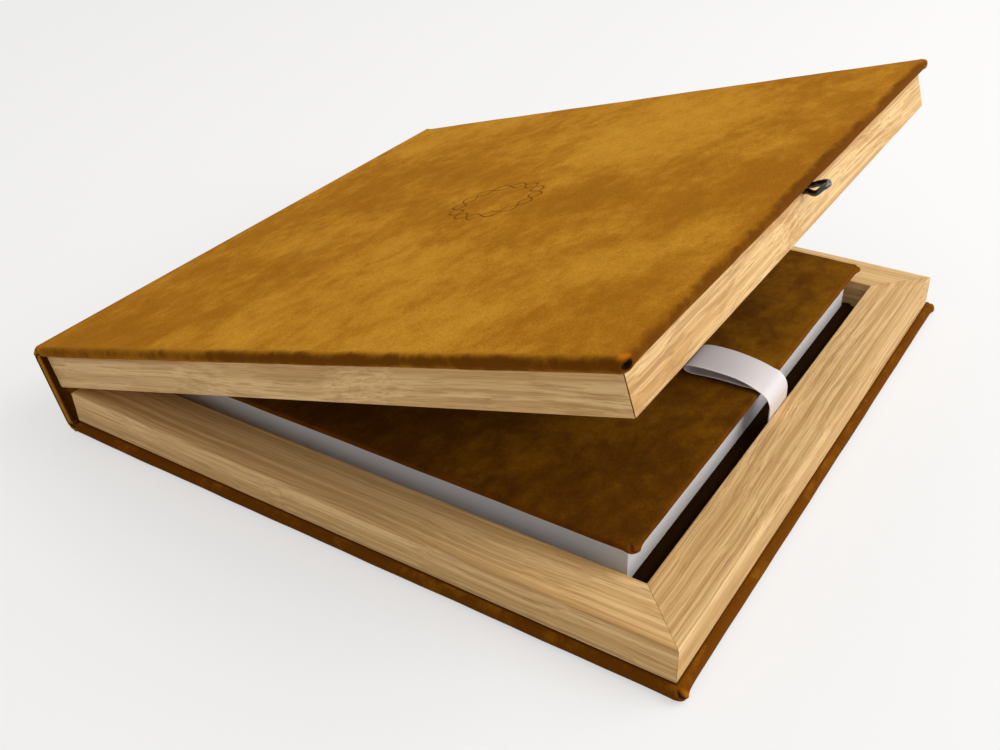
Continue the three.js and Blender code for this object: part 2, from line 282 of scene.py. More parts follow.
def turned(points, angle):
    """Points turned about the lower pivot; a positive angle lifts the fore edge."""
    cos, sin = math.cos(angle), math.sin(angle)
    x, y, z = np.moveaxis(points - LOWER_PIVOT, -1, 0)
    return LOWER_PIVOT + xyz(x * cos - z * sin, y, x * sin + z * cos)


def lid_turn(points):
    return turned(points, OPEN_ANGLE)


def closed_box(node):
    """Lowest and highest corner of a node of the spine or lid, as if the box were shut."""
    mesh = frame["nodes"][node].data
    points = np.zeros(len(mesh.vertices) * 3)
    mesh.vertices.foreach_get("co", points)
    points = turned(points.reshape(-1, 3), -OPEN_ANGLE)
    return points.min(0), points.max(0)


def rest_box(node):
    low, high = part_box(node)
    return np.array(low), np.array(high)


# Mesh building

def new_object(name, data):
    made = bpy.data.objects.new(name, data)
    bpy.context.scene.collection.objects.link(made)
    return made


def capped(rings):
    """Rings of points, with one more at either end that is drawn together in the ring's middle."""
    ends = [np.broadcast_to(rings[end].mean(0), rings[:1].shape) for end in (0, -1)]
    return np.concatenate([ends[0], rings, ends[1]])


def build_mesh(name, rings, material, attributes=None, merge=MERGE):
    """A mesh object from closed rings of points, with quads between each ring and the next. Its
    coinciding points are merged and its faces look outwards."""
    rows, columns = rings.shape[:2]
    row, column = np.meshgrid(np.arange(rows - 1), np.arange(columns), indexing="ij")
    here, after = row * columns + column, row * columns + (column + 1) % columns
    faces = np.stack([here, after, after + columns, here + columns], axis=-1).reshape(-1, 4)
    mesh = bpy.data.meshes.new(name)
    mesh.from_pydata(rings.reshape(-1, 3).tolist(), [], faces.tolist())
    for key, values in (attributes or {}).items():
        values = np.asarray(values, np.float32)
        if values.size == len(mesh.vertices):
            mesh.attributes.new(key, "FLOAT", "POINT").data.foreach_set("value", values.ravel())
        else:
            mesh.attributes.new(key, "FLOAT_VECTOR", "POINT").data.foreach_set("vector", values.ravel())
    work = bmesh.new()
    work.from_mesh(mesh)
    bmesh.ops.remove_doubles(work, verts=work.verts, dist=merge)
    bmesh.ops.dissolve_degenerate(work, dist=merge, edges=work.edges)
    bmesh.ops.recalc_face_normals(work, faces=work.faces)
    work.to_mesh(mesh)
    work.free()
    mesh.polygons.foreach_set("use_smooth", np.full(len(mesh.polygons), True))
    mesh.materials.append(material)
    return new_object(name, mesh)


# Camera

def make_camera():
    data = bpy.data.cameras.new("camera")
    data.lens = CAMERA_LENS
    data.sensor_width = CAMERA_SENSOR
    data.clip_start = CAMERA_NEAREST
    forward, up = Vector(CAMERA_FORWARD), Vector(CAMERA_UP)
    turn = Matrix((forward.cross(up), up, -forward)).transposed().to_4x4()
    camera = new_object("camera", data)
    camera.matrix_world = Matrix.Translation(CAMERA_PLACE) @ turn
    bpy.context.scene.camera = camera


# Materials

class Nodes:
    """Short way to add and link the nodes of a material or world."""

    def __init__(self, owner):
        owner.use_nodes = True
        self.owner = owner
        self.tree = owner.node_tree
        self.shader = self.tree.nodes.get("Principled BSDF")

    def put(self, socket, value):
        if isinstance(value, bpy.types.NodeSocket):
            self.tree.links.new(value, socket)
        else:
            socket.default_value = value

    def add(self, kind, inputs=None, **settings):
        node = self.tree.nodes.new(kind)
        for key, value in settings.items():
            setattr(node, key, value)
        for key, value in (inputs or {}).items():
            self.put(node.inputs[key], value)
        return node

    def math(self, operation, first, second=0.0, third=0.0):
        return self.add("ShaderNodeMath", {0: first, 1: second, 2: third}, operation=operation).outputs[0]

    def ramp(self, value, low, high, to_low=0.0, to_high=1.0):
        inputs = {0: value, 1: low, 2: high, 3: to_low, 4: to_high}
        return self.add("ShaderNodeMapRange", inputs, interpolation_type="SMOOTHSTEP").outputs[0]

    def noise(self, place, scale, detail=3.0, roughness=0.55):
        inputs = {"Vector": place, "Scale": scale, "Detail": detail, "Roughness": roughness}
        return self.add("ShaderNodeTexNoise", inputs).outputs[0]

    def stretch(self, place, scale, location=(0.0, 0.0, 0.0), turn=0.0):
        inputs = {"Vector": place, "Scale": scale, "Location": location, "Rotation": (0.0, 0.0, turn)}
        return self.add("ShaderNodeMapping", inputs).outputs[0]

    def mix(self, share, first, second, blend="MIX"):
        inputs = {0: share, 6: first, 7: second}
        return self.add("ShaderNodeMix", inputs, data_type="RGBA", blend_type=blend).outputs[2]

    def grey(self, value):
        return self.add("ShaderNodeCombineColor", {0: value, 1: value, 2: value}).outputs[0]

    def split(self, place):
        return self.add("ShaderNodeSeparateXYZ", {0: place}).outputs

    def bump(self, height, strength, distance):
        inputs = {"Height": height, "Strength": strength, "Distance": distance}
        return self.add("ShaderNodeBump", inputs).outputs[0]

    def attribute(self, name, output="Vector"):
        return self.add("ShaderNodeAttribute", attribute_name=name).outputs[output]

    def set(self, **values):
        for key, value in values.items():
            self.put(self.shader.inputs[key.replace("_", " ")], value)
        return self.owner


def new_material(name):
    return Nodes(bpy.data.materials.new(name))


def velvet(name, tints, shift=0.0, shade=None, pressed=None):
    """Short-pile velvet. Cloudy patches of brushed pile mix three tones; the pile is darker and
    redder where it turns over an edge, and more orange over a folded corner, where it is
    stretched and a highlight is painted on the fold's lobes. Where the edge value is above one
    it is almost black: painted shade in the hollows of folds and painted contact shadow beside
    the rails and the spine. Fine fibres give grain and bump. shade(nodes, place) shifts the
    tone with painted light and shade, pressed(nodes, place) gives lines pressed into the pile."""
    n = new_material(name)
    light, middle, dark, edge_tint, fold_tint = (colour(*tint) for tint in tints)
    place = n.attribute("place")
    cloud = n.noise(n.stretch(place, (1.2, 1.0, 1.0), (shift, shift, 0.0), 0.5), 8.0, 4.0, 0.55)
    streak = n.noise(n.stretch(place, (1.2, 0.9, 1.0), (0.0, shift, 0.0), 0.62), 26.0, 4.0, 0.6)
    patch = n.noise(n.stretch(place, (1.2, 0.8, 1.0), (2.0, shift, 0.0)), 110.0, 4.0, 0.65)
    fibre = n.noise(n.stretch(place, (1.1, 0.8, 1.0), turn=0.4), 800.0, 3.0, 0.75)
    tone = n.math("MULTIPLY_ADD", patch, 0.32, n.math("MULTIPLY", cloud, 0.62))
    tone = n.math("MULTIPLY_ADD", streak, 0.40, tone)
    # Painted light and shade, given for the lid and album velvets, shifts the tone.
    if shade is not None:
        tone = n.math("SUBTRACT", tone, shade(n, place))
    colour_now = n.mix(n.ramp(tone, 0.52, 0.80), dark, middle)
    colour_now = n.mix(n.ramp(tone, 0.62, 0.92), colour_now, light)
    colour_now = n.mix(1.0, colour_now, n.grey(n.ramp(fibre, 0.3, 0.7, 0.84, 1.14)), "MULTIPLY")
    uneven = n.math("MULTIPLY_ADD", n.math("SUBTRACT", patch, 0.5), 0.9, n.math("SUBTRACT", streak, 0.5))
    edge = n.attribute("edge", "Fac")
    ragged = n.math("MULTIPLY_ADD", n.math("MULTIPLY", uneven, n.ramp(edge, 0.0, 0.3)), 1.4, edge)
    colour_now = n.mix(n.ramp(ragged, 0.04, 0.95, 0.0, 0.95), colour_now, edge_tint)
    # Fold tint: stretched pile, and a painted highlight on the fold's lobes.
    stretched = n.math("MULTIPLY_ADD", uneven, 0.5, n.attribute("fold", "Fac"))
    colour_now = n.mix(n.ramp(stretched, 0.15, 1.1, 0.0, 0.75), colour_now, fold_tint)
    # Near-black painted shade where the edge value is above one.
    colour_now = n.mix(n.ramp(edge, 1.05, 1.8, 0.0, 0.95), colour_now, colour(*PAINTED_SHADE_TINT))
    height = n.math("MULTIPLY_ADD", patch, 0.35, n.math("MULTIPLY", fibre, 0.8))
    if pressed is not None:
        line = pressed(n, place)
        colour_now = n.mix(n.math("MULTIPLY", line, 0.8), colour_now, edge_tint)
        height = n.math("SUBTRACT", height, n.math("MULTIPLY", line, 1.2))
    return n.set(
        Base_Color=colour_now,
        Roughness=0.95,
        Specular_IOR_Level=0.05,
        Sheen_Weight=0.08,
        Sheen_Roughness=0.5,
        Sheen_Tint=colour(*SHEEN_TINT),
        Normal=n.bump(height, 0.45, 0.0005),
    )


def painted_lid_shading(n, place):
    """Painted light and shade on the lid: its velvet is darker towards its fore edge and at its
    hinge end, and lighter towards its far side."""
    x, y, _ = n.split(place)
    along = n.math("ADD", n.ramp(x, 0.03, 0.19, -0.02, 0.07), n.ramp(x, -0.19, -0.08, 0.02, 0.0))
    return n.math("ADD", along, n.ramp(y, -0.05, 0.19, 0.0, -0.04))


def painted_album_light(n, place):
    """Painted light and shade on the album: its velvet is lighter towards its far side, and darker at its
    near side.
    """
    return n.ramp(n.split(place)[1], -0.14, 0.14, 0.05, -0.12)


def ornament(n, place):
    """Lines where the distance from the centre is the radius plus or less a wave round it."""
    away = n.add("ShaderNodeVectorMath", {0: place, 1: ORNAMENT_CENTRE}, operation="SUBTRACT")
    x, y, z = n.split(away.outputs[0])
    reach = n.math("SQRT", n.math("ADD", n.math("MULTIPLY", x, x), n.math("MULTIPLY", y, y)))
    turn = n.math("MULTIPLY", n.math("ARCTAN2", y, x), ORNAMENT_LOBES)
    wave = n.math("MULTIPLY", n.math("SINE", turn), ORNAMENT_WAVE)
    off = n.math("SUBTRACT", reach, ORNAMENT_RADIUS)
    first = n.math("ABSOLUTE", n.math("SUBTRACT", off, wave))
    second = n.math("ABSOLUTE", n.math("ADD", off, wave))
    line = n.ramp(n.math("MINIMUM", first, second), ORNAMENT_LINE, 2.2 * ORNAMENT_LINE, 1.0, 0.0)
    return n.math("MULTIPLY", line, n.math("GREATER_THAN", z, ORNAMENT_ABOVE))


def lining_velvet():
    n = new_material("lining velvet")
    place = n.add("ShaderNodeTexCoord").outputs["Object"]
    patch = n.noise(place, 60.0)
    fibre = n.noise(place, 1500.0)
    return n.set(
        Base_Color=n.mix(patch, colour(26, 13, 5), colour(42, 22, 9)),
        Roughness=0.95,
        Specular_IOR_Level=0.08,
        Sheen_Weight=0.05,
        Normal=n.bump(fibre, 0.4, 0.0003),
    )


def oak():
    """Light oak cut along the grain. The "grain" attribute runs along the rail, across it and up
    it, so that every face shows the same board: wandering growth bands stretched along the rail,
    fine streaks, and short dark pores."""
    n = new_material("oak")
    grain = n.attribute("grain")
    wander = n.noise(n.stretch(grain, (4.5, 13.0, 13.0)), 1.0, 2.0, 0.5)
    ripple = n.noise(n.stretch(grain, (34.0, 50.0, 50.0), (3.0, 0.0, 0.0)), 1.0, 2.0, 0.5)
    sideways = n.math("MULTIPLY_ADD", wander, 0.022, n.math("MULTIPLY", ripple, 0.0014))
    aside = n.add("ShaderNodeCombineXYZ", {1: sideways, 2: sideways}).outputs[0]
    bent = n.add("ShaderNodeVectorMath", {0: grain, 1: aside}, operation="ADD").outputs[0]
    band = n.noise(n.stretch(bent, (1.2, 240.0, 170.0)), 1.0, 3.0, 0.65)
    line = n.noise(n.stretch(bent, (2.4, 560.0, 400.0), (1.0, 2.0, 4.0)), 1.0, 3.0, 0.7)
    streak = n.noise(n.stretch(bent, (9.0, 1500.0, 1100.0)), 1.0, 3.0, 0.65)
    pore = n.noise(n.stretch(bent, (36.0, 2200.0, 1800.0), (7.0, 3.0, 1.0)), 1.0, 1.0, 0.5)
    board = n.noise(n.stretch(grain, (1.5, 14.0, 14.0), (5.0, 0.0, 0.0)), 1.0, 1.0, 0.5)
    colour_now = n.mix(n.ramp(band, 0.36, 0.60), colour(204, 157, 94), colour(238, 199, 138))
    colour_now = n.mix(n.ramp(line, 0.50, 0.64, 0.0, 0.68), colour_now, colour(174, 124, 68))
    colour_now = n.mix(n.ramp(streak, 0.48, 0.64, 0.0, 0.55), colour_now, colour(182, 134, 76))
    colour_now = n.mix(n.ramp(board, 0.35, 0.75, 0.0, 0.3), colour_now, colour(238, 202, 143))
    pores = n.ramp(pore, 0.58, 0.74)
    colour_now = n.mix(n.math("MULTIPLY", pores, 0.35), colour_now, colour(134, 92, 46))
    height = n.math("SUBTRACT", n.math("MULTIPLY", streak, 0.5), pores)
    return n.set(
        Base_Color=colour_now,
        Roughness=n.ramp(streak, 0.3, 0.7, 0.5, 0.62),
        Specular_IOR_Level=0.25,
        Normal=n.bump(height, 0.35, 0.00025),
    )


def page_card():
    """White card pages seen on edge: a thin grey line between pages and slightly uneven trimming."""
    n = new_material("page card")
    place = n.add("ShaderNodeTexCoord").outputs["Object"]
    phase = n.math("FRACT", n.math("DIVIDE", n.split(place)[2], PAGE_PITCH))
    line = n.ramp(n.math("ABSOLUTE", n.math("SUBTRACT", phase, 0.5)), 0.36, 0.5)
    uneven = n.noise(n.stretch(place, (12.0, 12.0, 1300.0)), 1.0, 2.0)
    tone = n.math("SUBTRACT", n.ramp(uneven, 0.3, 0.7, 0.955, 1.0), n.math("MULTIPLY", line, 0.10))
    return n.set(
        Base_Color=n.mix(1.0, colour(232, 232, 234), n.grey(tone), "MULTIPLY"),
        Roughness=0.62,
        Specular_IOR_Level=0.3,
        Normal=n.bump(uneven, 0.12, 0.0002),
    )


def satin():
    """Double-faced satin: fine cross ribs, a soft lengthways gloss and a paler selvedge."""
    n = new_material("satin ribbon")
    rib = n.noise(n.stretch(n.attribute("along"), (9000.0, 500.0, 1.0)), 1.0, 1.0)
    return n.set(
        Base_Color=n.mix(n.attribute("edge", "Fac"), colour(226, 219, 219), colour(242, 236, 234)),
        Roughness=0.36,
        Specular_IOR_Level=0.5,
        Sheen_Weight=0.25,
        Sheen_Roughness=0.3,
        Anisotropic=0.5,
        Normal=n.bump(rib, 0.10, 0.0001),
    )


def black_cord():
    n = new_material("black cord")
    wrap = n.noise(n.stretch(n.attribute("along"), (900.0, 3.0, 1.0)), 1.0, 2.0)
    return n.set(
        Base_Color=n.mix(wrap, colour(4, 4, 5), colour(12, 11, 12)),
        Roughness=0.14,
        Specular_IOR_Level=0.5,
        Coat_Weight=0.5,
        Coat_Roughness=0.08,
        Normal=n.bump(wrap, 0.3, 0.0002),
    )


# Covered boards

def inset_polygon(corners, distance):
    """Corners of a convex polygon, counter-clockwise, with every side moved inwards."""
    corners = np.asarray(corners, float)
    sides = np.roll(corners, -1, axis=0) - corners
    sides /= np.linalg.norm(sides, axis=1, keepdims=True)
    normals = np.stack([sides[:, 1], -sides[:, 0]], axis=1)
    offsets = (corners * normals).sum(1) - distance
    moved = [np.linalg.solve(normals[[k - 1, k]], offsets[[k - 1, k]]) for k in range(len(corners))]
    return np.array(moved), normals


def board_profile(corners, radius):
    """A board's section in X and Z with round corners: core points and outward normals, side by
    side. A point of the surface is its core point plus radius times its normal."""
    core, normals = inset_polygon(corners, radius)
    points, directions = [], []
    for k in range(len(core)):
        before, after = normals[k - 1], normals[k]
        start = math.atan2(before[1], before[0])
        sweep = (math.atan2(after[1], after[0]) - start) % (2 * math.pi)
        angles = start + np.linspace(0.0, sweep, max(4, int(sweep / math.radians(CORNER_STEP_ANGLE))))
        points.append(np.repeat(core[k][None], len(angles), 0))
        directions.append(np.stack([np.cos(angles), np.sin(angles)], 1))
        side = core[(k + 1) % len(core)] - core[k]
        length = np.linalg.norm(side)
        if length > LONG_SIDE:
            dense = [SECTION_DENSE / length if way * side[0] > 0 else 0.0 for way in (-1, 1)]
            shares = graded(0.0, 1.0, COARSE_STEP / length, SECTION_STEP / length, *dense)[1:-1]
        else:
            shares = np.linspace(0.0, 1.0, 4)[1:-1]
        points.append(core[k] + side * shares[:, None])
        directions.append(np.repeat(after[None], len(shares), 0))
    return np.concatenate(points), np.concatenate(directions)


def board_rows(near, far, radius, inner, count):
    """Where the sections of a board lie along Y and how far each is drawn in: over a quarter
    circle at both ends, which rounds them, and not at all at the inner places."""
    turn = np.linspace(0.0, math.pi / 2, count)
    end = near + radius * (1 - np.cos(turn))
    drawn = radius * (1 - np.sin(turn))
    places = np.concatenate([end, inner, near + far - end[::-1]])
    return places, np.concatenate([drawn, np.zeros(len(inner)), drawn[::-1]])


def side_gap(points, near, far):
    """How far points lie inside the nearer of the two sides."""
    return np.minimum(points[..., 1] - near, far - points[..., 1])


def round_plan_corner(points, fore, near, far, radius):
    """Presses the two square fore corners of a plan into quarter discs: inside the corner square
    (a, b) goes to (a sqrt(1 - b^2/2), b sqrt(1 - a^2/2)), measured from the square's inner corner."""
    result = points.copy()
    for y_edge, sign in ((near, -1.0), (far, 1.0)):
        centre_x, centre_y = fore - radius, y_edge - sign * radius
        a = (points[..., 0] - centre_x) / radius
        b = sign * (points[..., 1] - centre_y) / radius
        inside = (a > 0) & (b > 0)
        a, b = np.clip(a, 0, 1), np.clip(b, 0, 1)
        new_x = centre_x + radius * a * np.sqrt(1 - b * b / 2)
        new_y = centre_y + sign * radius * b * np.sqrt(1 - a * a / 2)
        result[..., 0] = np.where(inside, new_x, result[..., 0])
        result[..., 1] = np.where(inside, new_y, result[..., 1])
    return result


def corner_fold(points, outward, corner, sign, crease):
    """The cloth's fold at a wrapped corner. Round the corner's centre, at a bearing from the fore
    direction, a narrow groove runs slanting down the edge and fades out, with a bead of gathered
    cloth on both sides; a pinched corner has a small pit instead. Reach is measured in corner
    radii and height in half boards from the middle. Gives the moved points, how far each belongs
    to the fold, which sets the fold tint and its painted highlight, and the painted shade in the
    hollow there."""
    bearing, slant, pinched, middle, half_height = crease
    rel_x = points[..., 0] - corner[0]
    rel_y = sign * (points[..., 1] - corner[1])
    reach = np.hypot(rel_x, rel_y) / CASE_CORNER
    height = (points[..., 2] - middle) / half_height
    away = np.arctan2(rel_y, rel_x) - (bearing + slant * height + 0.07 * np.sin(3.0 * height))
    near_edge = np.clip((reach - 0.35) / 0.4, 0, 1)
    beads = hill(away - 0.36, 0.24) + 0.8 * hill(away + 0.34, 0.22)
    if pinched:
        hollow = PIT_DEPTH * hill(away, 0.42) * hill(height - 0.05, 0.48)
        bulge = 0.9 * hill(away, 0.8)
        fold = 1.1 * hill(reach - 0.6, 1.5) * hill(away, 1.1) * np.clip(-0.2 - height, 0, 0.6) / 0.6
        hollow_shade = PIT_PAINTED_SHADE
    else:
        hollow = GROOVE_DEPTH * hill(away, 0.15) * np.clip((height + 0.45) / 0.5, 0, 1)
        bulge = 1.5 * hill(away + 0.15, 0.85)
        fold = 0.8 * hill(reach - 0.8, 1.3) * np.clip(reach, 0, 1) * hill(away + 0.35, 0.7)
        hollow_shade = GROOVE_PAINTED_SHADE
    swell = near_edge * MM * (0.2 * beads + bulge)
    fold = fold * (1 - np.clip(1.3 * hollow, 0, 1))
    level = outward * np.array([1.0, 1.0, 0.0])
    moved = points + level * swell[..., None] - outward * (near_edge * MM * hollow)[..., None]
    return moved, fold, near_edge * hollow_shade * np.clip(hollow, 0, 1)


def covered_board(
    corners, near, far, edge_radius, corner_radius=0.0, creases=(), wave=EDGE_WAVE, band=EDGE_BAND,
):
    """A board wrapped in cloth. Its section in X and Z is a rounded polygon, carried along Y; at
    both ends the section shrinks inwards over a quarter circle, which rounds the ends too. The
    fore corners are round in plan, and the cloth waves a little along the edges. Gives the points
    and, for the velvet, how near each is to an edge and to a folded corner."""
    core, normal = board_profile(corners, edge_radius)
    ends = (near + edge_radius, far - edge_radius)
    inner = graded(*ends, COARSE_STEP, LENGTH_STEP, LENGTH_DENSE, LENGTH_DENSE)[1:-1]
    rows = board_rows(near, far, edge_radius, inner, 9)
    y, inset = (np.pad(row, 1, mode="edge") for row in rows)
    section = core[None] + (edge_radius - inset)[:, None, None] * normal[None]
    low, high = section[..., 1].min(), section[..., 1].max()
    middle, half_height = 0.5 * (low + high), 0.5 * (high - low)
    section[[0, -1], :, 1] = middle
    points = xyz(section[..., 0], y[:, None], section[..., 1])
    end_share = np.sin(np.arccos(np.clip(1 - np.minimum(y - near, far - y) / edge_radius, 0, 1)))[:, None]
    y_out = np.sign(y - 0.5 * (near + far))[:, None] * np.sqrt(np.clip(1 - end_share ** 2, 0, 1))
    outward = xyz(normal[None, :, 0] * end_share, y_out, normal[None, :, 1] * end_share)
    hinge, fore = min(c[0] for c in corners), max(c[0] for c in corners)
    if corner_radius:
        points = round_plan_corner(points, fore, near, far, corner_radius)
    along, across = points[..., 0], points[..., 1]
    gap = np.clip(np.minimum(fore - along, side_gap(points, near, far)), 0, None)
    edge = hill(gap, band[0]) * hill(points[..., 2] - middle, band[1])
    ripple = wave * hill(gap, EDGE_WAVE_BAND) * smooth_wave(along, across, 1.0 + 10 * near)
    padding = PAD_WAVE * np.clip(gap / (9 * MM), 0, 1) * smooth_wave(0.4 * along, 0.4 * across, 4.0)
    hinge_free = np.clip((along - hinge - HINGE_FLAT) / (12 * MM), 0, 1)
    points = points + outward * ((ripple + padding * np.abs(outward[..., 2])) * hinge_free)[..., None]
    fold = np.zeros(edge.shape)
    for sign, bearing, slant, pinched in creases:
        corner = (fore - corner_radius, (far if sign > 0 else near) - sign * corner_radius)
        crease = (math.radians(bearing), slant, pinched, middle, half_height)
        # hollow is the painted shade in a fold's groove or pit; it joins the edge value.
        points, here, hollow = corner_fold(points, outward, corner, sign, crease)
        fold = np.maximum(fold, here)
        edge = np.maximum(edge, hollow)
    return points, edge, fold


def finish_board(name, surface, body, material, node, flip_at=None):
    """Makes the board's mesh. A board can be mirrored about a height; those of the spine and lid
    are turned with the lid."""
    points, edge, fold = surface
    if flip_at is not None:
        points = points * np.array([1.0, 1.0, -1.0]) + np.array([0.0, 0.0, flip_at])
    attributes = {"place": points, "edge": edge, "fold": fold}
    if body != "tray":
        points = lid_turn(points)
    piece = build_mesh(name, points, material, attributes, CLOTH_MERGE)
    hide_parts(node)
    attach(piece, body)


def swell_edges(points, hinge, fore, near, far, hang=0.0):
    """Lets the wrapped edges stand a little proud of the board, and those at the two sides hang
    down a little beside the rails, more towards the fore end."""
    x, y, z = np.moveaxis(points, -1, 0)
    along = np.clip((x - hinge - HINGE_FLAT) / (60 * MM), 0, 1)
    out_fore, out_far, out_near = (eased(past / PROUD_BAND + 1) for past in (x - fore, y - far, near - y))
    inner = z > 0.5 * (z.min() + z.max())
    beside = hill(np.maximum(near - y, y - far) + HANG_INSIDE, HANG_BAND)
    further = np.clip((x - hinge) / (fore - hinge), 0, 1) * np.clip((fore - x) / (4 * MM), 0, 1)
    return xyz(
        x + FORE_PROUD * out_fore,
        y + SIDE_PROUD * along * (out_far - out_near),
        z + hang * beside * inner * (0.3 + 0.7 * further) * along,
    )


def hinge_arc(corner, turn_in, start):
    """Points on an eighth of a circle that rounds a board's outer corner up to its mitre. turn_in
    is the signs of the way from the corner to the circle's centre, start the first bearing."""
    centre = np.array(corner) + CASE_HINGE_ROUND * np.array(turn_in)
    angles = start + np.linspace(0.0, math.pi / 4, 5)
    return [tuple(centre + CASE_HINGE_ROUND * np.array([math.cos(a), math.sin(a)])) for a in angles]


def make_case(material, lid_material):
    """Base, spine and lid boards, each in its velvet. The lid board is the base board's mirror
    image, and both end in a mitre at the spine, like the spine board between them."""
    low, high = rest_box("base_board")
    hinge = LOWER_PIVOT[0]
    gap = CASE_HINGE_GAP * math.sqrt(2)
    sides = (low[1], high[1])
    plan = (hinge, high[0], *sides)
    board = hinge_arc((hinge + gap, low[2]), (1.0, 1.0), 1.25 * math.pi)
    board += [(high[0], low[2]), (high[0], high[2]), (hinge + gap + high[2] - low[2], high[2])]
    points, edge, fold = covered_board(
        board, *sides, CASE_EDGE, CASE_CORNER, BASE_CREASES, EDGE_WAVE, BASE_EDGE_AND_SHADE_BAND,
    )
    overhang = rest_box("tray_rail_near")[0][1] - low[1]
    gap_in = np.minimum(high[0] - points[..., 0], side_gap(points, *sides))
    # Painted contact shadow on the base's velvet along the foot of the rails.
    shade_beside_rails = hill(gap_in - overhang - 0.2 * MM, CONTACT_SHADE_BAND) * (points[..., 2] > 0.6 * high[2])
    surface = (swell_edges(points, *plan), np.maximum(edge, CONTACT_SHADE_PAINTED * shade_beside_rails), fold)
    finish_board("base_cover", surface, "tray", material, "base_board")

    points, edge, fold = covered_board(board, *sides, CASE_EDGE, CASE_CORNER, LID_CREASES, 1.4 * EDGE_WAVE)
    # The lid's edge tint fades towards the hinge end: painted light, where the band is lit more.
    darker = 0.45 + 0.55 * np.clip((points[..., 0] - hinge) / (200 * MM), 0, 1)
    surface = (swell_edges(points, *plan, LID_HANG), edge * darker, fold)
    flip_at = low[2] + SPINE_LENGTH
    finish_board("lid_cover", surface, "lid", lid_material, "lid_board", flip_at)

    inner = closed_box("spine_board")[1][0]
    thick = inner - hinge
    rounding = 0.4 * thick
    board = hinge_arc((hinge, SPINE_LENGTH - gap), (1.0, -1.0), 0.75 * math.pi)
    board += hinge_arc((hinge, gap), (1.0, 1.0), math.pi)
    board += [(inner, gap + thick), (inner, SPINE_LENGTH - gap - thick)]
    points, _, fold = covered_board(board, *sides, rounding)
    outer = np.clip((hinge + rounding - points[..., 0]) / rounding, 0, 1)
    points[..., 0] -= SPINE_PROUD * outer * (1 - np.abs(2 * points[..., 2] / SPINE_LENGTH - 1) ** 6)
    # Painted contact shadow on the spine's inner face, near both its ends.
    inside = np.clip((points[..., 0] - hinge - 0.86 * thick) / (0.12 * thick), 0, 1)
    edge = CONTACT_SHADE_PAINTED * inside * np.exp(-(side_gap(points, *sides) / SPINE_END_SHADE) ** 4)
    finish_board("spine_cover", (points, edge, fold), "spine", material, "spine_board")


def hinge_cloth(name, pivot, first, second, spine_side, near, far, bodies, material):
    """The cloth over one hinge: a thin lens-shaped strip from one board's outer face round the
    corner to the next board's. Its outer line is straight, a circle's arc that touches both
    faces, and straight again; its inner line lies a thickness inside, and both meet at the
    strip's two edges. On the spine's side it swells out with the spine."""
    first, second = np.array(first), np.array(second)
    half_angle = 0.5 * math.acos(float(first @ second))
    touch = CASE_HINGE_ROUND / math.tan(half_angle)
    inward = (first + second) / np.linalg.norm(first + second)
    centre = inward * CASE_HINGE_ROUND / math.sin(half_angle)
    bearings = [math.atan2(way[1], way[0]) for way in (first * touch - centre, second * touch - centre)]
    sweep = (bearings[1] - bearings[0] + math.pi) % (2 * math.pi) - math.pi
    angles = bearings[0] + np.linspace(0.0, sweep, 25)
    arc_normal = np.stack([np.cos(angles), np.sin(angles)], 1)
    straight = np.linspace(HINGE_CLOTH_REACH, touch, 9)[:-1, None]
    bend = centre + CASE_HINGE_ROUND * arc_normal
    line = np.concatenate([first * straight, bend, (second * straight)[::-1]])
    normal = np.pad(arc_normal, ((len(straight), len(straight)), (0, 0)), mode="edge")
    run = distances(line)
    share = (2 * run / run[-1] - 1)[:, None]
    line = line + normal * SPINE_PROUD * eased(spine_side * share)
    outer = line + normal * HINGE_CLOTH_PROUD * (1 - share ** 4)
    inner = line - normal * HINGE_CLOTH_THICKNESS * (1 - share ** 2)
    middle = np.linspace(near + CASE_EDGE, far - CASE_EDGE, 80)[1:-1]
    y, inset = board_rows(near, far, CASE_EDGE, middle, 7)
    flat = there_and_back(outer, inner) - there_and_back(normal, normal) * inset[:, None, None]
    points = capped(xyz(flat[..., 0] + pivot[0], y[:, None], flat[..., 1] + pivot[2]))
    edge = 0.12 * hill(side_gap(points, near, far), 3.4 * MM)
    piece = build_mesh(name, points, material, {"place": points, "edge": edge}, CLOTH_MERGE)
    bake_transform(piece)


def make_hinges(material):
    low, high = rest_box("base_board")
    up = np.array([-math.sin(OPEN_ANGLE), math.cos(OPEN_ANGLE)])
    out = np.array([math.cos(OPEN_ANGLE), math.sin(OPEN_ANGLE)])
    sides = (low[1], high[1])
    hinge_cloth("lower_hinge_cloth", LOWER_PIVOT, (1.0, 0.0), up, 1.0, *sides, ("tray", "spine"), material)
    hinge_cloth("upper_hinge_cloth", UPPER_PIVOT, -up, out, -1.0, *sides, ("spine", "lid"), material)


# Oak rails

def rail_section(width, height, round_top):
    """A rail's section as a closed line of points: sharp arris at the board, round outer and
    inner edges at the open side. Each corner is a quarter circle, with a point close by on both
    sides of it."""
    top, glued = RAIL_ROUND_OUTER, RAIL_ROUND_ARRIS
    corners = ((0.0, 0.0, glued), (width, 0.0, glued), (width, height, top), (0.0, height, top))
    points = []
    for k, (x, z, radius) in enumerate(corners):
        centre = (x + (radius if x == 0.0 else -radius), z + (radius if z == 0.0 else -radius))
        after = k * math.pi / 2
        before = after - math.pi / 2
        ring = arc(centre, radius, 180 + 90 * k, 270 + 90 * k, 7)
        points += [
            ring[0] - RAIL_BESIDE_ARRIS * np.array([math.cos(before), math.sin(before)]), *ring,
            ring[-1] + RAIL_BESIDE_ARRIS * np.array([math.cos(after), math.sin(after)]),
        ]
    points = np.array(points)
    if not round_top:
        points[:, 1] = height - points[:, 1]
        points = points[::-1]
    return points


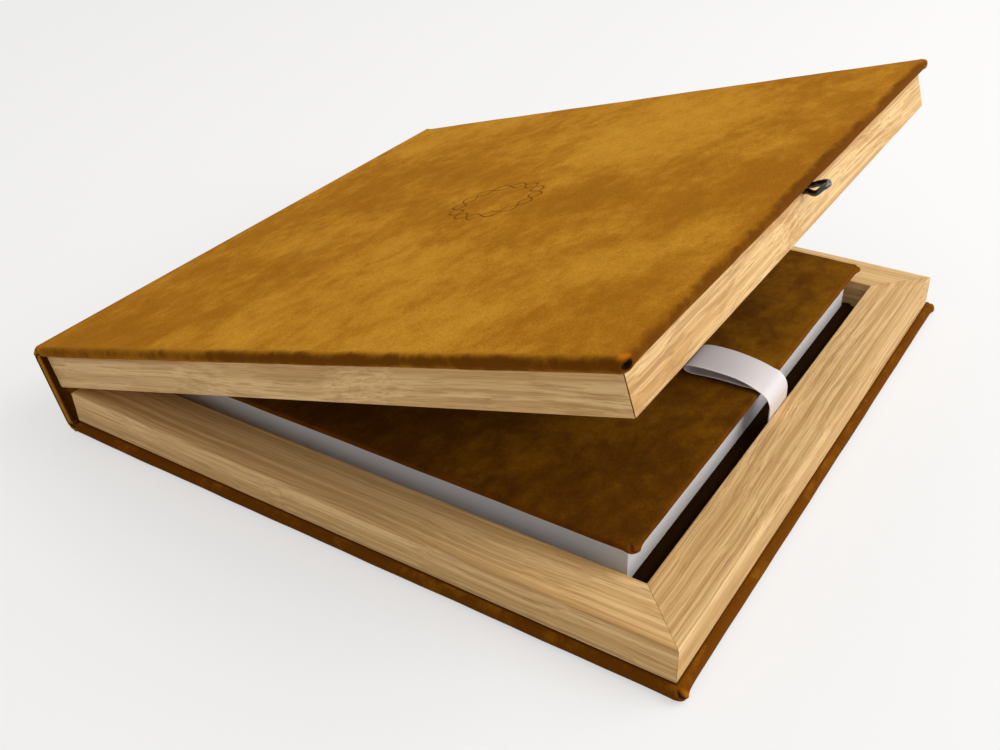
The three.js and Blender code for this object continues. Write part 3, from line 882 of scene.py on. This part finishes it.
def oak_rail(name, length, width, height, place, turn, seed, body, material):
    """A mitred rail: its section is carried along the rail, and at each end every point stops
    short by its distance from the outer face, which cuts the 45-degree mitre."""
    lift = body == "lid"
    section = rail_section(width, height, not lift)
    half = length / 2 - section[:, 0] - (LID_SEAM if lift else TRAY_SEAM) * math.sqrt(2)
    along = np.linspace(-1.0, 1.0, 41)[:, None] * half
    local = capped(xyz(along, section[:, 0], section[:, 1]))
    cos, sin = math.cos(turn), math.sin(turn)
    points = xyz(
        place[0] + local[..., 0] * cos - local[..., 1] * sin,
        place[1] + local[..., 0] * sin + local[..., 1] * cos,
        place[2] + local[..., 2],
    )
    if lift:
        points = lid_turn(points)
    grain = local + np.array([seed, 0.37 * seed, 0.61 * seed])
    piece = build_mesh(name, points, material, {"grain": grain})
    piece.data.set_sharp_from_angle(angle=math.radians(RAIL_SHARP_ANGLE))
    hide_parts(name.replace("_oak", ""))
    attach(piece, body)


def make_frame(body, material, seed):
    measure = closed_box if body == "lid" else rest_box
    (near_low, near_high), (_, fore_high), (_, far_high), (spine_low, _) = (
        measure(f"{body}_rail_{side}") for side in ("near", "fore", "far", "spine")
    )
    length, depth = fore_high[0] - spine_low[0], far_high[1] - near_low[1]
    width, height = near_high[1:] - near_low[1:]
    middle_x = 0.5 * (fore_high[0] + spine_low[0])
    middle_y = 0.5 * (far_high[1] + near_low[1])
    sides = (
        ("near", length, (middle_x, near_low[1])),
        ("fore", depth, (fore_high[0], middle_y)),
        ("far", length, (middle_x, far_high[1])),
        ("spine", depth, (spine_low[0], middle_y)),
    )
    for index, (side, run, place) in enumerate(sides):
        oak_rail(
            f"{body}_rail_{side}_oak", run, width, height, (*place, near_low[2]),
            index * math.pi / 2, seed + 1.3 * index, body, material,
        )


# Album

def box_section(low, high):
    return [(low[0], low[2]), (high[0], low[2]), (high[0], high[2]), (low[0], high[2])]


def album_groove(points, x_spine, sign):
    """Presses the hinge groove of a book cover: a round channel parallel to the spine."""
    x, y, z = np.moveaxis(points, -1, 0)
    away = (x - x_spine - ALBUM_GROOVE_FROM_SPINE) / (0.5 * ALBUM_GROOVE_WIDTH)
    depth = ALBUM_GROOVE_DEPTH * np.exp(-away ** 2 * 1.6)
    outer = np.clip(sign * (z - 0.5 * (z.min() + z.max())) / MM, 0, 1)
    return xyz(x, y, z - sign * depth * outer)


def make_album(velvet_material, shaded_back_material, card_material):
    spine_low, spine_high = rest_box("album_spine")
    # The back cover wears the darker velvet copy: painted shade.
    covers = (("album_front_cover", 1.0, velvet_material), ("album_back_cover", -1.0, shaded_back_material))
    for node, sign, cloth in covers:
        low, high = rest_box(node)
        points, edge, fold = covered_board(
            box_section(low, high), low[1], high[1], ALBUM_EDGE, ALBUM_CORNER, ALBUM_CREASES, 0.8 * EDGE_WAVE,
        )
        surface = (album_groove(points, spine_low[0], sign), 0.5 * edge, 0.6 * fold)
        finish_board(f"{node}_velvet", surface, "tray", cloth, node)
    section = box_section(spine_low, spine_high)
    surface = covered_board(section, spine_low[1], spine_high[1], ALBUM_SPINE_EDGE)
    finish_board("album_spine_velvet", surface, "tray", velvet_material, "album_spine")
    make_pages(card_material)


def make_pages(material):
    """The page block: the outline of a page carried up, with a fine groove between pages. The
    height's fraction of a page pitch gives the groove, a raised cosine to the sixth power."""
    low, high = rest_box("album_pages")
    count = round((high[2] - low[2]) / PAGE_PITCH)
    heights = np.linspace(low[2], high[2], count * 6 + 1)
    phase = (heights - low[2]) / (high[2] - low[2]) * count
    groove = PAGE_GROOVE * (0.5 + 0.5 * np.cos(2 * math.pi * phase)) ** 6
    xs, ys = np.linspace(low[:2], high[:2], 24).T
    sides = ((xs[:-1], low[1]), (high[0], ys[:-1]), (xs[:0:-1], high[1]), (low[0], ys[:0:-1]))
    outline = np.concatenate([np.stack(np.broadcast_arrays(*side), 1) for side in sides])
    centre, half = 0.5 * (low[:2] + high[:2]), 0.5 * (high[:2] - low[:2])
    rings = centre + (outline - centre) * (1 - groove[:, None, None] / half)
    points = capped(xyz(rings[..., 0], rings[..., 1], heights[:, None]))
    piece = build_mesh("album_page_block", points, material)
    piece.data.set_sharp_from_angle(angle=math.radians(PAGE_SHARP_ANGLE))
    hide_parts("album_pages")
    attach(piece, "tray")


# Ribbon

def bezier(start, start_pull, end_pull, end, count):
    """Points on a cubic Bezier curve, without the first."""
    t = np.linspace(0.0, 1.0, count + 1)[1:, None]
    a, b, c, d = (np.array(p) for p in (start, start_pull, end_pull, end))
    return (1 - t) ** 3 * a + 3 * (1 - t) ** 2 * t * b + 3 * (1 - t) * t ** 2 * c + t ** 3 * d


def ribbon_path():
    """The ribbon's line in X and Z. The inner ply rises beside the fore rail, bends over the
    cover's edge and lies on the cover; it turns back in a round fold, and the outer ply swells up
    to a crest, sinks towards the cover's edge, bends over the inner one and goes down beside it."""
    low, high = rest_box("lifting_ribbon")
    cover_top = rest_box("album_front_cover")[1][2]
    outer_x = high[0] - 0.5 * RIBBON_THICKNESS
    centre = np.array([outer_x - RIBBON_BEND, cover_top - RIBBON_BEND_BELOW_COVER])
    ply = RIBBON_PLY_GAP
    lower = cover_top + 0.5 * RIBBON_THICKNESS + RIBBON_ABOVE_COVER
    crest = np.array([low[0] + RIBBON_CREST_FROM_FOLD, high[2] - 0.5 * RIBBON_THICKNESS])
    fold = np.array([low[0] + 0.5 * RIBBON_THICKNESS, 0.5 * (crest[1] + lower)])
    landing = np.array([fold[0] + 7 * MM, lower])
    leaving = np.array([centre[0] - 11 * MM, lower])
    over = math.radians(RIBBON_BEND_ANGLE)
    way = np.array([math.sin(over), -math.cos(over)])
    inner_top = centre + (RIBBON_BEND - ply) * np.array([math.cos(over), math.sin(over)])
    outer_top = centre + RIBBON_BEND * np.array([math.cos(over), math.sin(over)])
    rise = np.linspace(low[2], centre[1], 12)[:-1]
    return np.concatenate([
        np.stack([np.full(11, outer_x - ply), rise], 1),
        arc(centre, RIBBON_BEND - ply, 0, RIBBON_BEND_ANGLE, 18),
        bezier(inner_top, inner_top - 4 * MM * way, leaving + (6 * MM, 0.0), leaving, 12),
        np.stack([np.linspace(leaving[0], landing[0], 14)[1:], np.full(13, lower)], 1),
        bezier(landing, landing - (4 * MM, 0.0), fold - (0.0, 1.9 * MM), fold, 10),
        bezier(fold, fold + (0.0, 2.1 * MM), crest - (7 * MM, 0.0), crest, 12),
        bezier(crest, crest + (10 * MM, 0.0), outer_top - 9 * MM * way, outer_top, 22),
        arc(centre, RIBBON_BEND, RIBBON_BEND_ANGLE, 0, 18)[1:],
        np.stack([np.full(11, outer_x), rise[::-1]], 1),
    ])


def make_ribbon(material):
    """A strip carried along the ribbon's line: its section is a thin flat oval with a thicker
    selvedge at both sides. It drifts towards the near side on its way in, and its near edge lifts
    a little off the cover, except at the crest."""
    line = ribbon_path()
    cover_x = rest_box("album_front_cover")[1][0]
    normal = left_of(line)
    half = 0.5 * RIBBON_WIDTH
    web_half = half - RIBBON_SELVEDGE
    across = np.concatenate([
        np.linspace(-half, -web_half, 7)[:-1],
        np.linspace(-web_half, web_half, 22),
        np.linspace(web_half, half, 7)[1:],
    ])
    from_edge = np.clip((half - np.abs(across)) / RIBBON_SELVEDGE, 0, 1)
    bead = np.sqrt(np.clip(1 - (2 * from_edge - 1) ** 2, 0, 1)) * 0.5 * RIBBON_SELVEDGE_THICKNESS
    web = 0.5 * RIBBON_THICKNESS * np.sqrt(np.clip(from_edge * 2, 0, 1))
    thickness = np.maximum(bead, web)
    ring_across = there_and_back(across, across)
    ring_up = there_and_back(thickness, -thickness)
    inward = np.clip((cover_x - line[:, 0]) / (cover_x - line[:, 0].min()), 0, 1)
    lower_ply = np.arange(len(line)) < np.argmin(line[:, 0])
    drift = RIBBON_INNER_ASIDE * lower_ply * (1 - inward) - RIBBON_DRIFT * inward
    lower = line[:, 1][lower_ply & (inward > 0)].min()
    height = np.clip((line[:, 1] - lower) / (line[:, 1].max() - lower), 0, 1)
    twist = RIBBON_TWIST * np.sin(math.pi * inward) * (1 - height ** 3)
    lift = twist[:, None] * (0.5 - ring_across / RIBBON_WIDTH)
    points = capped(xyz(
        line[:, :1] + normal[:, :1] * ring_up,
        drift[:, None] + ring_across,
        line[:, 1:] + normal[:, 1:] * ring_up + lift,
    ))
    travelled = np.pad(distances(line), 1, mode="edge")
    along = xyz(travelled[:, None], ring_across, 0.0)
    selvedge = np.broadcast_to(np.abs(ring_across) > web_half, along.shape[:2])
    attributes = {"along": along, "edge": selvedge}
    piece = build_mesh("satin_lifting_ribbon", points, material, attributes, FINE_MERGE)
    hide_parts("lifting_ribbon")
    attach(piece, "tray")


# Pull loop

def make_pull_loop(material):
    """The loop: a round cord carried along a U that widens from its root, slightly ridged, its two
    ends at the rail, its tip bent up a little and its near cord sagging. With s the smooth step
    from root to tip, the height is rise s - sag 4 s (1 - s) on the near side."""
    low, high = closed_box("pull_loop")
    half_cord = 0.5 * LOOP_CORD
    bend = 0.5 * (high[1] - low[1]) - half_cord
    middle_x, middle_y = high[0] - half_cord - bend, 0.5 * (low[1] + high[1])
    steps = np.linspace(0.0, 1.0, 13)[:-1]
    straight = low[0] + (middle_x - low[0]) * steps
    spread = bend * (LOOP_ROOT_SHARE + (1 - LOOP_ROOT_SHARE) * eased(steps))
    line = np.concatenate([
        np.stack([straight, middle_y - spread], 1),
        arc((middle_x, middle_y), bend, -90, 90, 40),
        np.stack([straight, middle_y + spread], 1)[::-1],
    ])
    root = low[0] + LOOP_ROOT
    share = eased((line[:, 0] - root) / (middle_x + bend - root))
    nearness = np.clip((middle_y - line[:, 1]) / bend, 0, 1)
    level = high[2] - half_cord - LOOP_RISE * (1 - share) - 4 * LOOP_SAG * share * (1 - share) * nearness
    normal = -left_of(line)
    angle = np.linspace(0.0, 2 * math.pi, 24, endpoint=False)
    travelled = np.pad(distances(line), 1, mode="edge")[:, None]
    radius = half_cord * (1 + LOOP_RIDGE * np.cos(travelled[1:-1] / LOOP_RIDGE_PITCH + 2 * angle))
    points = capped(xyz(
        line[:, :1] + normal[:, :1] * radius * np.cos(angle),
        line[:, 1:] + normal[:, 1:] * radius * np.cos(angle),
        level[:, None] + radius * np.sin(angle),
    ))
    along = xyz(travelled, angle, 0.0)
    piece = build_mesh("black_pull_loop", lid_turn(points), material, {"along": along}, FINE_MERGE)
    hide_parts("pull_loop")
    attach(piece, "lid")


# Surroundings

def seen_directly(n):
    """One for what the camera sees, straight or in gloss or glass, and nought for the light's way."""
    path = n.add("ShaderNodeLightPath").outputs
    seen = n.math("MAXIMUM", path["Is Camera Ray"], path["Is Glossy Ray"])
    return n.math("MAXIMUM", seen, path["Is Transmission Ray"])


def make_floor():
    """A large pale floor. What is seen of it is part its own white and part the light that falls
    on it, so that it looks white all over and keeps the object's shadow."""
    mesh = bpy.data.meshes.new("floor")
    corners = [(x * FLOOR_HALF, y * FLOOR_HALF, 0) for x, y in ((-1, -1), (1, -1), (1, 1), (-1, 1))]
    mesh.from_pydata(corners, [], [(0, 1, 2, 3)])
    floor = new_object("floor", mesh)
    floor.location.z = -FLOOR_DROP
    n = new_material("floor")
    n.set(Base_Color=FLOOR_COLOUR, Roughness=0.95, Specular_IOR_Level=0.05)
    white = n.add("ShaderNodeEmission", {"Color": colour(*FLOOR_WHITE), "Strength": 1.0}).outputs[0]
    share = n.math("MULTIPLY", seen_directly(n), FLOOR_OWN_WHITE)
    mixed = n.add("ShaderNodeMixShader", {0: share, 1: n.shader.outputs[0], 2: white}).outputs[0]
    n.put(n.tree.nodes["Material Output"].inputs["Surface"], mixed)
    mesh.materials.append(n.owner)


def make_world():
    """A plain studio sky that lights more from above than from the horizon, and is seen evenly."""
    n = Nodes(bpy.data.worlds.new("studio"))
    bpy.context.scene.world = n.owner
    background = n.tree.nodes["Background"].inputs
    height = n.split(n.add("ShaderNodeTexCoord").outputs["Generated"])[2]
    light = n.add("ShaderNodeMapRange", {0: height, 3: WORLD_LIGHT_LOW, 4: WORLD_LIGHT_HIGH}).outputs[0]
    strength = n.add("ShaderNodeMapRange", {0: seen_directly(n), 3: light, 4: WORLD_SEEN}).outputs[0]
    n.put(background["Strength"], strength)
    n.put(background["Color"], (1.0, 1.0, 1.0, 1.0))


def make_lamp():
    data = bpy.data.lights.new("key", "AREA")
    data.shape = "RECTANGLE"
    data.size, data.size_y = KEY_SIZE
    data.energy = KEY_POWER
    lamp = new_object("key", data)
    lamp.location = KEY_PLACE
    lamp.rotation_euler = (Vector(KEY_TARGET) - Vector(KEY_PLACE)).to_track_quat("-Z", "Y").to_euler()


def main():
    make_camera()
    case = velvet("case velvet", CASE_VELVET)
    book = velvet("album velvet", ALBUM_VELVET, ALBUM_SHIFT, painted_album_light)
    # A darker copy of the album velvet: painted shade on the back cover.
    back = velvet("back cover velvet", SHADED_BACK_COVER_VELVET, ALBUM_SHIFT)
    lining = lining_velvet()
    make_case(case, velvet("lid velvet", CASE_VELVET, shade=painted_lid_shading, pressed=ornament))
    make_hinges(case)
    wood = oak()
    make_frame("tray", wood, 0.4)
    make_frame("lid", wood, 7.9)
    make_album(book, back, page_card())
    make_ribbon(satin())
    make_pull_loop(black_cord())
    for node in ("tray_lining", "lid_lining"):
        frame["nodes"][node].data.materials.clear()
        frame["nodes"][node].data.materials.append(lining)
    make_floor()
    make_world()
    make_lamp()
    bpy.context.scene.view_settings.view_transform = "Standard"


main()
bpy.context.view_layer.update()
